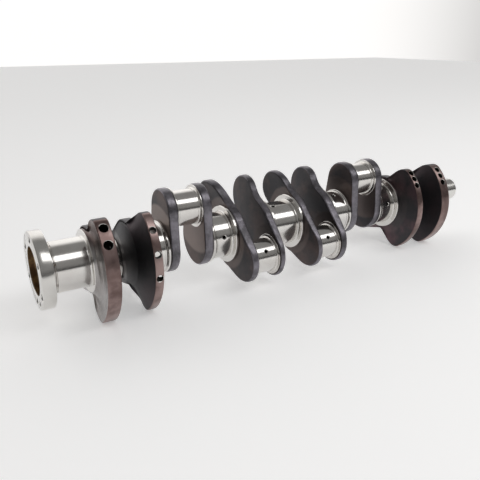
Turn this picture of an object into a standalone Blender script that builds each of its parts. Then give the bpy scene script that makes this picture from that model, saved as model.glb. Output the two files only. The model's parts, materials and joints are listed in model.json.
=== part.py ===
"""Crankshaft of an inline six with seven main bearings and eight counterweights.

Metres, +Z up. The shaft lies along X, with its rear flange at -X and its nose at +X.
Every piece is modelled about the shaft's axis, with X = 0 at the middle of main journal 4.
The last lines move the whole shaft so that it stands on Z = 0, centred over the origin.
"""

import math

import bmesh
import bpy
from mathutils import Vector

for leftover in list(bpy.data.objects):
    bpy.data.objects.remove(leftover, do_unlink=True)

MM = 0.001

# Joins: pieces that meet face to face keep this gap between them.
JOIN_GAP = 0.3 * MM

# Overall layout along the shaft.
CYLINDER_PITCH = 106.0 * MM
CENTRE_PITCH = 118.0 * MM
STROKE = 107.0 * MM
SHAFT_TURN = math.radians(3.25)

# Main journals.
MAIN_RADIUS = 35.0 * MM
HEAVY_COLLAR_RADIUS = MAIN_RADIUS + 9.0 * MM
PLAIN_COLLAR_RADIUS = MAIN_RADIUS + 3.0 * MM
MAIN_COLLAR_WIDTH = 4.5 * MM
MAIN_HALF = 19.5 * MM
CENTRE_MAIN_HALF = 28.0 * MM
REAR_MAIN_LENGTH = 55.5 * MM
FRONT_MAIN_LENGTH = 38.0 * MM
MAIN_FILLET = 2.5 * MM

# Crankpins.
PIN_RADIUS = 26.0 * MM
PIN_COLLAR_RADIUS = PIN_RADIUS + 5.2 * MM
PIN_COLLAR_WIDTH = 1.5 * MM
PIN_HALF = 19.5 * MM
PIN_FILLET = 2.5 * MM

# Cheeks: a boss round the main journal and one round the pin, each wider than its collar.
PLAIN_MAIN_BOSS = PLAIN_COLLAR_RADIUS + 1.0 * MM
PLAIN_PIN_BOSS = PIN_COLLAR_RADIUS + 1.1 * MM
MIDDLE_MAIN_BOSS = HEAVY_COLLAR_RADIUS + 1.0 * MM
MIDDLE_PIN_BOSS = PIN_COLLAR_RADIUS + 3.8 * MM
END_MAIN_BOSS = HEAVY_COLLAR_RADIUS + 4.0 * MM
END_PIN_BOSS = PIN_COLLAR_RADIUS + 5.8 * MM
EDGE_CHAMFER = 1.5 * MM
OUTLINE_BLEND = 20.0 * MM

# End counterweights (webs 12, 11, 2 and 1).
OUTER_WEIGHT_RADIUS = 88.0 * MM
INNER_WEIGHT_RADIUS = 86.0 * MM
END_WEIGHT_DIRECTION = math.radians(180.0)
END_WEIGHT_SPREAD = math.radians(62.0)
END_WEIGHT_SLOPE = 130.0 * MM
OUTER_RIM_WIDTH = 18.5 * MM
INNER_RIM_WIDTH = 12.0 * MM
RIM_OVERHANG = 8.0 * MM

# Middle counterweights (webs 8, 7, 6 and 5): round tongues that lean away from their pin.
MIDDLE_WEIGHT_RADIUS = 91.0 * MM
MIDDLE_LOBE_RADIUS = 32.5 * MM
MIDDLE_WEIGHT_DIRECTION = math.radians(45.0)
MIDDLE_BELLY_RADIUS = 37.0 * MM
MIDDLE_BELLY_OFFSET = 17.5 * MM
MIDDLE_BELLY_DIRECTION = math.radians(238.0)
MIDDLE_BLEND = 18.0 * MM
MIDDLE_LEAN = {5: 4.0 * MM, 6: 6.0 * MM, 7: 3.0 * MM, 8: 10.0 * MM}
PIN_END_RELIEF = 4.0 * MM

# Holes drilled in the rims to balance the shaft.
OUTER_BALANCE_HOLE = 12.0 * MM
INNER_BALANCE_HOLE = 9.5 * MM
BALANCE_HOLE_DEPTH = 16.0 * MM

# Oil drillings that open on the journals.
OIL_HOLE = 5.5 * MM
OIL_HOLE_DEPTH = 9.0 * MM
PIN_OIL_LEAD = math.radians(-68.0)

# Rear flange.
FLANGE_RADIUS = 52.6 * MM
FLANGE_THICKNESS = 16.5 * MM
FLANGE_CHAMFER = 1.0 * MM
RECESS_RADIUS = 33.0 * MM
RECESS_DEPTH = 9.0 * MM
BOLT_COUNT = 6
BOLT_CIRCLE_RADIUS = 43.0 * MM
BOLT_HOLE = 9.5 * MM
FIRST_BOLT_ANGLE = math.radians(32.0)
DOWEL_HOLE = 8.0 * MM
DOWEL_ANGLE = math.radians(247.0)
UNDERCUT_WIDTH = 4.5 * MM
UNDERCUT_DEPTH = 1.5 * MM

# Pilot bush, which sits in the flange and in the end of the rear main journal.
BUSH_OUTER_RADIUS = 16.0 * MM
BUSH_BORE_RADIUS = 10.0 * MM
BUSH_LENGTH = 28.0 * MM

# Front nose, in steps of (length, radius).
GEAR_SEAT_LENGTH = 34.0 * MM
GEAR_SEAT_RADIUS = 26.0 * MM
NOSE_LENGTH = 42.0 * MM
NOSE_RADIUS = 20.3 * MM
NOSE_CHAMFER = 1.5 * MM
CENTRE_BORE_RADIUS = 8.0 * MM
CENTRE_BORE_DEPTH = 30.0 * MM
KEYWAY_WIDTH = 6.0 * MM
KEYWAY_DEPTH = 3.5 * MM
KEYWAY_LENGTH = 30.0 * MM

# Facets round each kind of piece.
TURNED_STEPS = 24
OUTLINE_STEPS = 48
HOLE_STEPS = 10

# Which webs are plain cheeks, and which carry a middle counterweight.
PLAIN_WEBS = (3, 4, 9, 10)
MIDDLE_WEBS = (5, 6, 7, 8)

# Values that follow from the ones above.
THROW = STROKE / 2
WEB_THICKNESS = CYLINDER_PITCH / 2 - MAIN_HALF - PIN_HALF
THROW_ANGLES = {
    1: math.radians(330) + SHAFT_TURN,
    2: math.radians(90) + SHAFT_TURN,
    3: math.radians(210) + SHAFT_TURN,
}
PIN_X = {}
MAIN_X = {4: 0.0}
for step in range(3):
    PIN_X[3 - step] = CENTRE_PITCH / 2 + step * CYLINDER_PITCH
    PIN_X[4 + step] = -PIN_X[3 - step]
    THROW_ANGLES[4 + step] = THROW_ANGLES[3 - step]
for step in range(2):
    MAIN_X[3 - step] = PIN_X[3 - step] + CYLINDER_PITCH / 2
    MAIN_X[5 + step] = -MAIN_X[3 - step]
END_FACE_X = PIN_X[1] + PIN_HALF + WEB_THICKNESS
REAR_FACE_X = -END_FACE_X - REAR_MAIN_LENGTH - FLANGE_THICKNESS
NOSE_START_X = END_FACE_X + FRONT_MAIN_LENGTH


# ---------------------------------------------------------------- materials

def finish(name, colour, roughness, metallic):
    """One Principled material."""
    material = bpy.data.materials.new(name)
    material.use_nodes = True
    shader = material.node_tree.nodes["Principled BSDF"]
    shader.inputs["Base Color"].default_value = (*colour, 1.0)
    shader.inputs["Roughness"].default_value = roughness
    shader.inputs["Metallic"].default_value = metallic
    return material


GROUND_STEEL = ((0.62, 0.61, 0.59), 0.18, 1.0)
FORGED_STEEL = ((0.11, 0.105, 0.11), 0.45, 0.85)
TURNED_STEEL = ((0.52, 0.51, 0.49), 0.28, 1.0)
BEARING_BRONZE = ((0.55, 0.38, 0.18), 0.35, 1.0)

crank_axis = bpy.data.objects.new("crank_axis", None)
bpy.context.scene.collection.objects.link(crank_axis)


# ---------------------------------------------------------------- mesh helpers

def add_object(name, mesh_data, look=None):
    """Puts a bmesh in the scene as a smooth-shaded object on the crank's axis."""
    bmesh.ops.recalc_face_normals(mesh_data, faces=mesh_data.faces)
    mesh = bpy.data.meshes.new(name)
    mesh_data.to_mesh(mesh)
    mesh_data.free()
    mesh.shade_smooth()
    mesh.set_sharp_from_angle(angle=math.radians(35))
    piece = bpy.data.objects.new(name, mesh)
    bpy.context.scene.collection.objects.link(piece)
    piece.parent = crank_axis
    if look:
        mesh.materials.append(finish(name, *look))
    return piece


def skin_rings(mesh_data, rings, closed=False):
    """Joins rings of points by bands of faces, and caps the two end rings unless they meet."""
    loops = [[mesh_data.verts.new(point) for point in ring] for ring in rings]
    pairs = list(zip(loops, loops[1:]))
    if closed:
        pairs.append((loops[-1], loops[0]))
    for one, other in pairs:
        for i in range(len(one)):
            j = (i + 1) % len(one)
            mesh_data.faces.new((one[i], one[j], other[j], other[i]))
    if not closed:
        mesh_data.faces.new(loops[0])
        mesh_data.faces.new(loops[-1][::-1])


def circle(x, radius, steps=TURNED_STEPS, centre=(0.0, 0.0)):
    """Points on a circle in a plane square to the shaft."""
    angles = [2 * math.pi * i / steps for i in range(steps)]
    return [
        Vector((x, centre[0] + radius * math.cos(a), centre[1] + radius * math.sin(a)))
        for a in angles
    ]


def turned(name, profile, look, centre=(0.0, 0.0), closed=False):
    """A lathe-turned piece: profile is a list of (x, radius) from one end to the other."""
    mesh_data = bmesh.new()
    skin_rings(mesh_data, [circle(x, radius, centre=centre) for x, radius in profile], closed)
    return add_object(name, mesh_data, look)


def rod_between(mesh_data, start, end, diameter):
    """A round cutter from start to end."""
    along = (end - start).normalized()
    side = along.orthogonal().normalized()
    other = along.cross(side)
    rings = []
    for point in (start, end):
        turns = [2 * math.pi * i / HOLE_STEPS for i in range(HOLE_STEPS)]
        rings.append(
            [point + diameter / 2 * (side * math.cos(a) + other * math.sin(a)) for a in turns]
        )
    skin_rings(mesh_data, rings)


def cut(piece, cutter_mesh):
    """Takes a cutter's shape out of a piece with a live Boolean."""
    cutter = add_object(piece.name + "_cutter", cutter_mesh)
    cutter.hide_render = True
    cutter.display_type = "WIRE"
    boolean = piece.modifiers.new("holes", "BOOLEAN")
    boolean.operation = "DIFFERENCE"
    boolean.solver = "EXACT"
    boolean.object = cutter


def radial(angle, radius, centre=(0.0, 0.0)):
    """(y, z) of a point at an angle and radius from a centre."""
    return centre[0] + radius * math.cos(angle), centre[1] + radius * math.sin(angle)


def radial_hole(cutter_mesh, x, angle, surface, diameter, depth, centre=(0.0, 0.0)):
    """A blind hole drilled square into a round surface."""
    outside = Vector((x, *radial(angle, surface + depth / 2, centre)))
    bottom = Vector((x, *radial(angle, surface - depth, centre)))
    rod_between(cutter_mesh, bottom, outside, diameter)


# ---------------------------------------------------------------- web outlines

def angle_between(one, other):
    """The unsigned angle from one direction to the other."""
    return abs((one - other + math.pi) % (2 * math.pi) - math.pi)


def larger(one, other, blend):
    """The larger of two radii, with a fillet of about blend where they cross."""
    share = min(max(0.5 + 0.5 * (one - other) / blend, 0.0), 1.0)
    return other + (one - other) * share + blend * share * (1 - share)


def smaller(one, other, blend):
    """The smaller of two radii, with a rounded corner where they cross."""
    return -larger(-one, -other, blend)


def cheek_radius(angle, pin_angle, main_boss, pin_boss):
    """Outline of a plain cheek: a boss round the main, one round the pin, and their tangents."""
    away = angle_between(angle, pin_angle)
    tangent = math.acos((main_boss - pin_boss) / THROW)
    touch = math.atan2(
        pin_boss * math.sin(tangent), THROW + pin_boss * math.cos(tangent)
    )
    if away <= touch:
        inside = pin_boss**2 - (THROW * math.sin(away)) ** 2
        return THROW * math.cos(away) + math.sqrt(inside)
    if away < tangent:
        return main_boss / math.cos(away - tangent)
    return main_boss


def end_weight_radius(angle, radius):
    """Outline of an end counterweight: a wide sector with rounded ends."""
    away = angle_between(angle, END_WEIGHT_DIRECTION + SHAFT_TURN)
    flank = radius - (away - END_WEIGHT_SPREAD) * END_WEIGHT_SLOPE
    return smaller(radius, flank, OUTLINE_BLEND)


def round_lobe(angle, direction, offset, lobe_radius):
    """Outline of a tongue from the shaft's axis, with parallel sides and a round end."""
    away = angle_between(angle, direction + SHAFT_TURN)
    if away >= math.pi / 2:
        return 0.0
    if away >= math.atan2(lobe_radius, offset):
        return lobe_radius / math.sin(away)
    inside = lobe_radius**2 - (offset * math.sin(away)) ** 2
    return offset * math.cos(away) + math.sqrt(inside)


def plain_outline(angle, pin_angle):
    return cheek_radius(angle, pin_angle, PLAIN_MAIN_BOSS, PLAIN_PIN_BOSS)


def middle_outline(angle, pin_angle):
    """A cheek with a belly under it, and the counterweight's round lobe."""
    cheek = cheek_radius(angle, pin_angle, MIDDLE_MAIN_BOSS, MIDDLE_PIN_BOSS)
    belly = round_lobe(
        angle, MIDDLE_BELLY_DIRECTION, MIDDLE_BELLY_OFFSET, MIDDLE_BELLY_RADIUS
    )
    offset = MIDDLE_WEIGHT_RADIUS - MIDDLE_LOBE_RADIUS
    lobe = round_lobe(angle, MIDDLE_WEIGHT_DIRECTION, offset, MIDDLE_LOBE_RADIUS)
    return larger(max(cheek, belly), lobe, MIDDLE_BLEND)


def end_outline(angle, pin_angle, radius):
    cheek = cheek_radius(angle, pin_angle, END_MAIN_BOSS, END_PIN_BOSS)
    return larger(cheek, end_weight_radius(angle, radius), OUTLINE_BLEND)


def outer_outline(angle, pin_angle):
    return end_outline(angle, pin_angle, OUTER_WEIGHT_RADIUS)


def inner_outline(angle, pin_angle):
    return end_outline(angle, pin_angle, INNER_WEIGHT_RADIUS)


def polar_ring(radius_at, x_at):
    """A ring of points from a radius and an x for each angle."""
    ring = []
    for i in range(OUTLINE_STEPS):
        angle = 2 * math.pi * i / OUTLINE_STEPS
        ring.append(Vector((x_at(angle), *radial(angle, radius_at(angle)))))
    return ring


def flat_web(name, x_low, x_high, pin_angle, outline):
    """A web whose two faces are flat, with chamfered edges."""
    rings = []
    for x, inset in (
        (x_low, EDGE_CHAMFER),
        (x_low + EDGE_CHAMFER, 0.0),
        (x_high - EDGE_CHAMFER, 0.0),
        (x_high, EDGE_CHAMFER),
    ):
        rings.append(polar_ring(lambda a: outline(a, pin_angle) - inset, lambda a: x))
    mesh_data = bmesh.new()
    skin_rings(mesh_data, rings)
    return add_object(name, mesh_data, FORGED_STEEL)


def slanted_web(name, x_low, x_high, side, lean, pin_angle):
    """A middle web: its lobe leans away from the pin, and its outer face falls in at the pin."""
    flat_radius = MIDDLE_MAIN_BOSS + 3.0 * MM

    def outline(angle):
        return middle_outline(angle, pin_angle)

    def proud(angle):
        """0 at the boss round the main journal and 1 at the outline's far ends."""
        share = (outline(angle) - flat_radius) / (MIDDLE_WEIGHT_RADIUS - flat_radius)
        share = min(max(share, 0.0), 1.0)
        return share * share * (3 - 2 * share)

    def on_pin_side(angle):
        return angle_between(angle, pin_angle) < angle_between(angle, MIDDLE_WEIGHT_DIRECTION)

    def face_x(x, outer):
        def at(angle):
            if not on_pin_side(angle):
                return x + side * lean * proud(angle)
            return x - side * PIN_END_RELIEF * proud(angle) if outer else x

        return at

    def flat_ring(x):
        return polar_ring(
            lambda a: min(flat_radius, outline(a) - 2 * EDGE_CHAMFER), lambda a: x
        )

    low = face_x(x_low, side < 0)
    high = face_x(x_high, side > 0)
    rings = [
        flat_ring(x_low),
        polar_ring(lambda a: outline(a) - EDGE_CHAMFER, low),
        polar_ring(outline, lambda a: low(a) + EDGE_CHAMFER),
        polar_ring(outline, lambda a: high(a) - EDGE_CHAMFER),
        polar_ring(lambda a: outline(a) - EDGE_CHAMFER, high),
        flat_ring(x_high),
    ]
    mesh_data = bmesh.new()
    skin_rings(mesh_data, rings)
    return add_object(name, mesh_data, FORGED_STEEL)


def flared_web(name, x_low, x_high, rim_low, rim_high, pin_angle, outline):
    """A web whose counterweight leans from the cheek's faces out to a rim of its own width."""

    def cheek(angle):
        return cheek_radius(angle, pin_angle, END_MAIN_BOSS, END_PIN_BOSS)

    def lean(angle):
        """0 on the cheek and 1 where the counterweight stands clear of it."""
        proud = outline(angle, pin_angle) - cheek(angle)
        share = min(max(proud / (OUTER_WEIGHT_RADIUS - END_MAIN_BOSS), 0.0) * 1.6, 1.0)
        return share * share * (3 - 2 * share)

    def face_x(cheek_x, rim_x):
        return lambda angle: cheek_x + (rim_x - cheek_x) * lean(angle)

    low = face_x(x_low, rim_low)
    high = face_x(x_high, rim_high)
    rings = [
        polar_ring(lambda a: cheek(a) - 2 * EDGE_CHAMFER, lambda a: x_low),
        polar_ring(lambda a: outline(a, pin_angle) - EDGE_CHAMFER, low),
        polar_ring(lambda a: outline(a, pin_angle), lambda a: low(a) + EDGE_CHAMFER),
        polar_ring(lambda a: outline(a, pin_angle), lambda a: high(a) - EDGE_CHAMFER),
        polar_ring(lambda a: outline(a, pin_angle) - EDGE_CHAMFER, high),
        polar_ring(lambda a: cheek(a) - 2 * EDGE_CHAMFER, lambda a: x_high),
    ]
    mesh_data = bmesh.new()
    skin_rings(mesh_data, rings)
    return add_object(name, mesh_data, FORGED_STEEL)


# ---------------------------------------------------------------- journals

def journal_end(x_face, inward, radius, collar_radius, collar_width, fillet):
    """(x, radius) steps of one end: collar, its edge, and the fillet down to the journal."""
    edge = collar_width * 0.2
    return [
        (x_face, collar_radius),
        (x_face + inward * (collar_width - edge), collar_radius),
        (x_face + inward * collar_width, collar_radius - edge),
        (x_face + inward * collar_width, radius + fillet),
        (x_face + inward * (collar_width + 0.3 * fillet), radius + 0.3 * fillet),
        (x_face + inward * (collar_width + fillet), radius),
    ]


def main_end(x_face, inward, collar_radius=HEAVY_COLLAR_RADIUS):
    return journal_end(
        x_face, inward, MAIN_RADIUS, collar_radius, MAIN_COLLAR_WIDTH, MAIN_FILLET
    )


def main_journal(number, x, half):
    """A main journal between webs 2 * number - 1, behind it, and 2 * number - 2."""
    reach = half - JOIN_GAP / 2
    rear, front = (
        PLAIN_COLLAR_RADIUS if web in PLAIN_WEBS else HEAVY_COLLAR_RADIUS
        for web in (2 * number - 1, 2 * number - 2)
    )
    profile = main_end(x - reach, 1, rear) + main_end(x + reach, -1, front)[::-1]
    return turned(f"main_journal_{number}", profile, GROUND_STEEL)


def crankpin(number):
    """A crankpin between two webs."""
    x = PIN_X[number]
    reach = PIN_HALF - JOIN_GAP / 2
    ends = [
        journal_end(
            x + side * reach, -side, PIN_RADIUS, PIN_COLLAR_RADIUS, PIN_COLLAR_WIDTH, PIN_FILLET
        )
        for side in (-1, 1)
    ]
    centre = radial(THROW_ANGLES[number], THROW)
    pin = turned(f"crankpin_{number}", ends[0] + ends[1][::-1], GROUND_STEEL, centre)
    holes = bmesh.new()
    angle = THROW_ANGLES[number] + PIN_OIL_LEAD
    radial_hole(holes, x, angle, PIN_RADIUS, OIL_HOLE, OIL_HOLE_DEPTH, centre)
    cut(pin, holes)


def oil_hole(journal, x, angle):
    """Opens one oil drilling on a main journal."""
    holes = bmesh.new()
    radial_hole(holes, x, angle, MAIN_RADIUS, OIL_HOLE, OIL_HOLE_DEPTH)
    cut(journal, holes)


MAIN_OIL_ANGLES = {
    2: math.radians(168),
    3: math.radians(108),
    4: math.radians(108),
    5: math.radians(168),
    6: math.radians(228),
}
CENTRE_OIL_OFFSET = 10.0 * MM
for number, x in MAIN_X.items():
    half = CENTRE_MAIN_HALF if number == 4 else MAIN_HALF
    journal = main_journal(number, x, half)
    hole_x = x - CENTRE_OIL_OFFSET if number == 4 else x
    oil_hole(journal, hole_x, MAIN_OIL_ANGLES[number])

for number in PIN_X:
    crankpin(number)

# Rear main journal: a blind bore in its rear end holds the pilot bush.
rear_low = REAR_FACE_X + FLANGE_THICKNESS + JOIN_GAP
bush_low = REAR_FACE_X + RECESS_DEPTH
bore_radius = BUSH_OUTER_RADIUS + JOIN_GAP
bore_end = bush_low + BUSH_LENGTH + JOIN_GAP
rear_profile = [
    (bore_end, bore_radius),
    (rear_low, bore_radius),
    (rear_low, MAIN_RADIUS - UNDERCUT_DEPTH),
    (rear_low + UNDERCUT_WIDTH, MAIN_RADIUS - UNDERCUT_DEPTH),
    (rear_low + UNDERCUT_WIDTH + UNDERCUT_DEPTH, MAIN_RADIUS),
] + main_end(-END_FACE_X - JOIN_GAP, -1)[::-1]
turned("main_journal_7", rear_profile, GROUND_STEEL)

# Front main journal: it ends in a shoulder where the nose begins.
front_profile = main_end(END_FACE_X + JOIN_GAP, 1) + [
    (NOSE_START_X - MAIN_FILLET, MAIN_RADIUS),
    (NOSE_START_X, MAIN_RADIUS - MAIN_FILLET),
]
turned("main_journal_1", front_profile, GROUND_STEEL)

# ---------------------------------------------------------------- webs

cheeks = {}
for number in PIN_X:
    x = PIN_X[number]
    for side in (-1, 1):
        inner_face = x + side * PIN_HALF
        web_number = 2 * number - (1 if side > 0 else 0)
        thickness = WEB_THICKNESS
        if web_number in (6, 7):
            thickness = CENTRE_PITCH / 2 - PIN_HALF - CENTRE_MAIN_HALF
        cheeks[web_number] = sorted((inner_face, inner_face + side * thickness))

for web_number, (low, high) in cheeks.items():
    pin_number = (web_number + 1) // 2
    pin_angle = THROW_ANGLES[pin_number]
    name = f"web_{web_number}"
    if web_number in PLAIN_WEBS:
        flat_web(name, low, high, pin_angle, plain_outline)
    elif web_number in MIDDLE_WEBS:
        side = 1 if web_number % 2 else -1
        slanted_web(name, low, high, side, MIDDLE_LEAN[web_number], pin_angle)

# The four end webs: rims 1 and 11 overhang towards the nose, rims 2 and 12 stand on their cheeks.
END_WEBS = {
    1: (OUTER_RIM_WIDTH, RIM_OVERHANG, OUTER_WEIGHT_RADIUS, INNER_BALANCE_HOLE, (133, 141, 149)),
    2: (INNER_RIM_WIDTH, 0.0, INNER_WEIGHT_RADIUS, INNER_BALANCE_HOLE, (131, 139, 147)),
    11: (INNER_RIM_WIDTH, RIM_OVERHANG, INNER_WEIGHT_RADIUS, INNER_BALANCE_HOLE, (143, 165, 187)),
    12: (OUTER_RIM_WIDTH, 0.0, OUTER_WEIGHT_RADIUS, OUTER_BALANCE_HOLE, (134, 149)),
}
for web_number, (rim_width, overhang, radius, hole, hole_degrees) in END_WEBS.items():
    low, high = cheeks[web_number]
    rim_centre = (low + high) / 2 + overhang
    rim = (rim_centre - rim_width / 2, rim_centre + rim_width / 2)
    outline = outer_outline if rim_width == OUTER_RIM_WIDTH else inner_outline
    pin_angle = THROW_ANGLES[(web_number + 1) // 2]
    web = flared_web(f"web_{web_number}", low, high, *rim, pin_angle, outline)
    holes = bmesh.new()
    for degrees in hole_degrees:
        angle = math.radians(degrees)
        radial_hole(holes, rim_centre, angle, radius, hole, BALANCE_HOLE_DEPTH)
    cut(web, holes)

# ---------------------------------------------------------------- rear flange and pilot bush

flange_high = REAR_FACE_X + FLANGE_THICKNESS
flange = turned(
    "rear_flange",
    [
        (REAR_FACE_X, RECESS_RADIUS),
        (REAR_FACE_X, FLANGE_RADIUS - FLANGE_CHAMFER),
        (REAR_FACE_X + FLANGE_CHAMFER, FLANGE_RADIUS),
        (flange_high - FLANGE_CHAMFER, FLANGE_RADIUS),
        (flange_high, FLANGE_RADIUS - FLANGE_CHAMFER),
        (flange_high, bore_radius),
        (REAR_FACE_X + RECESS_DEPTH, bore_radius),
        (REAR_FACE_X + RECESS_DEPTH, RECESS_RADIUS),
    ],
    TURNED_STEEL,
    closed=True,
)
flange_holes = bmesh.new()
through = FLANGE_THICKNESS / 2
hole_places = [
    (FIRST_BOLT_ANGLE + 2 * math.pi * i / BOLT_COUNT, BOLT_HOLE) for i in range(BOLT_COUNT)
] + [(DOWEL_ANGLE, DOWEL_HOLE)]
for angle, diameter in hole_places:
    where = radial(angle, BOLT_CIRCLE_RADIUS)
    rod_between(
        flange_holes,
        Vector((REAR_FACE_X - through, *where)),
        Vector((flange_high + through, *where)),
        diameter,
    )
cut(flange, flange_holes)

turned(
    "pilot_bush",
    [
        (bush_low, BUSH_BORE_RADIUS),
        (bush_low, BUSH_OUTER_RADIUS),
        (bush_low + BUSH_LENGTH, BUSH_OUTER_RADIUS),
        (bush_low + BUSH_LENGTH, BUSH_BORE_RADIUS),
    ],
    BEARING_BRONZE,
    closed=True,
)

# ---------------------------------------------------------------- nose

nose_low = NOSE_START_X + JOIN_GAP
step_x = NOSE_START_X + GEAR_SEAT_LENGTH
nose_end = step_x + NOSE_LENGTH
nose = turned(
    "front_nose",
    [
        (nose_low, GEAR_SEAT_RADIUS),
        (step_x - NOSE_CHAMFER, GEAR_SEAT_RADIUS),
        (step_x, GEAR_SEAT_RADIUS - NOSE_CHAMFER),
        (step_x, NOSE_RADIUS),
        (nose_end - NOSE_CHAMFER, NOSE_RADIUS),
        (nose_end, NOSE_RADIUS - NOSE_CHAMFER),
        (nose_end, CENTRE_BORE_RADIUS),
        (nose_end - CENTRE_BORE_DEPTH, CENTRE_BORE_RADIUS),
    ],
    TURNED_STEEL,
)
keyway = bmesh.new()
key_middle = Vector((step_x + KEYWAY_LENGTH / 2, 0.0, 0.0))
key_direction = THROW_ANGLES[1]
key_floor = NOSE_RADIUS - KEYWAY_DEPTH
across = Vector((0.0, -math.sin(key_direction), math.cos(key_direction)))
outward = Vector((0.0, math.cos(key_direction), math.sin(key_direction)))
keyway_rings = []
for height in (key_floor, GEAR_SEAT_RADIUS + KEYWAY_DEPTH):
    corners = [(-1, -1), (1, -1), (1, 1), (-1, 1)]
    keyway_rings.append(
        [
            key_middle
            + Vector((a * KEYWAY_LENGTH / 2, 0.0, 0.0))
            + across * (b * KEYWAY_WIDTH / 2)
            + outward * height
            for a, b in corners
        ]
    )
skin_rings(keyway, keyway_rings)
cut(nose, keyway)

# ---------------------------------------------------------------- stand the shaft on z = 0

bpy.context.view_layer.update()
pieces = [piece for piece in crank_axis.children if not piece.hide_render]
corners = [piece.matrix_world @ Vector(corner) for piece in pieces for corner in piece.bound_box]
lows = [min(corner[i] for corner in corners) for i in range(3)]
highs = [max(corner[i] for corner in corners) for i in range(3)]
crank_axis.location = (-(lows[0] + highs[0]) / 2, -(lows[1] + highs[1]) / 2, -lows[2])
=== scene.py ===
# %% [markdown]
# # A crankshaft for a long-stroke inline six
#
# The real object is one steel forging. Its webs keep the dark skin of the forge and the
# heat treatment, and its journals, pins, flange and nose are ground or turned bright.
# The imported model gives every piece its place, so this lesson only shapes and finishes them.

import json
import math

import bmesh
import bpy
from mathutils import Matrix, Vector

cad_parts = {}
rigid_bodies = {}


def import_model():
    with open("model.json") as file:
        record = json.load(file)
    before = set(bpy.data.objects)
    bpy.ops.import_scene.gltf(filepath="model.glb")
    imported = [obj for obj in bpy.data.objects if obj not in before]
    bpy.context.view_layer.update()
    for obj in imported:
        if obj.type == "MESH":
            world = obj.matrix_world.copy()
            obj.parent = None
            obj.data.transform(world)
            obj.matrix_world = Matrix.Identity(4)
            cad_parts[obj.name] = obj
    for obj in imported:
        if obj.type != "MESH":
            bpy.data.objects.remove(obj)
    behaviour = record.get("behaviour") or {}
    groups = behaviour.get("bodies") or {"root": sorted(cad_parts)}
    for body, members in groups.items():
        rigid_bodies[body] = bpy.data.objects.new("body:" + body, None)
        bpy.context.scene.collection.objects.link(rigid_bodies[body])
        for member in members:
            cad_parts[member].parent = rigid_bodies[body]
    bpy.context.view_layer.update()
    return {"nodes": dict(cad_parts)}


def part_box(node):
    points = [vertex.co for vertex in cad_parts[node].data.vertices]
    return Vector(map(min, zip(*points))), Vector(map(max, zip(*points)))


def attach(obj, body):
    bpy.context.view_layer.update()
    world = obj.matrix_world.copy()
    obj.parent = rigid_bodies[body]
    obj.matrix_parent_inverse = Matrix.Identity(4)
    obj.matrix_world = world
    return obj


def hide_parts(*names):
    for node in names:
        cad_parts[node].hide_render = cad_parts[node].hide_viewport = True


for leftover in list(bpy.data.objects):
    bpy.data.objects.remove(leftover, do_unlink=True)
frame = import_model()
bpy.ops.object.select_all(action="DESELECT")
MM = 0.001
print("frame nodes:", len(frame["nodes"]))

# %% [markdown]
# ## Where things are
#
# Each journal and each pin is round, so the middle of its box is a point on its own axis.
# The webs fill what is left between a pin and its neighbouring journals.

# %% Measure the frame
def middle(node):
    """The middle of a CAD node's box."""
    low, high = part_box(node)
    return (low + high) / 2


AXIS = middle("main_journal_4")
PIN_COUNT = 6
PIN_CENTRES = {n: middle(f"crankpin_{n}") for n in range(1, PIN_COUNT + 1)}
THROW = (PIN_CENTRES[1] - Vector((PIN_CENTRES[1].x, AXIS.y, AXIS.z))).length
PIN_ANGLES = {
    n: math.atan2(c.z - AXIS.z, c.y - AXIS.y) for n, c in PIN_CENTRES.items()
}
HALF_GAP = 0.15 * MM


def cheek_faces(web):
    """Lowest and highest x of a web's cheek, between its pin and its journal."""
    pin = (web + 1) // 2
    journal = web // 2 + 1
    pin_low, pin_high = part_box(f"crankpin_{pin}")
    main_low, main_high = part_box(f"main_journal_{journal}")
    if web % 2:
        return pin_high.x + HALF_GAP, main_low.x - HALF_GAP
    return main_high.x + HALF_GAP, pin_low.x - HALF_GAP


print("throw", round(THROW / MM, 2), "web 12", [round(x / MM, 1) for x in cheek_faces(12)])

# %% [markdown]
# ## The camera
#
# It stands to the rear and the left of the shaft and looks a little down, so the flange is
# nearest and the nose is furthest away. Its place is measured from the middle journal.

# %% Camera
SENSOR_WIDTH = 36.0
LENS = 41.274
CAMERA_OFFSET = Vector((-0.4847, -0.69658, 0.28475))
CAMERA_DIRECTION = Vector((0.48413, 0.80308, -0.34738))

camera_data = bpy.data.cameras.new("studio_camera")
camera_data.sensor_width = SENSOR_WIDTH
camera_data.lens = LENS
camera_data.clip_start = 0.01
camera = bpy.data.objects.new("studio_camera", camera_data)
camera.location = AXIS + CAMERA_OFFSET
camera.rotation_euler = CAMERA_DIRECTION.to_track_quat("-Z", "Y").to_euler()
bpy.context.scene.collection.objects.link(camera)
bpy.context.scene.camera = camera

# %% [markdown]
# ## Shader maths
#
# A finish is easier to read as sums and products than as a list of nodes. A small class wraps
# a node's socket, and Python's own operators then add the Math nodes.

# %% Shader helpers
def add_node(tree, kind, settings=None, **inputs):
    """One node: its settings first, then the values or links of its sockets."""
    node = tree.nodes.new(kind)
    for name, value in (settings or {}).items():
        setattr(node, name, value)
    for name, value in inputs.items():
        key = int(name[1:]) if name[1:].isdigit() else name.replace("_", " ")
        socket = node.inputs[key]
        if isinstance(value, Field):
            tree.links.new(value.socket, socket)
        else:
            socket.default_value = value
    return node


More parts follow.
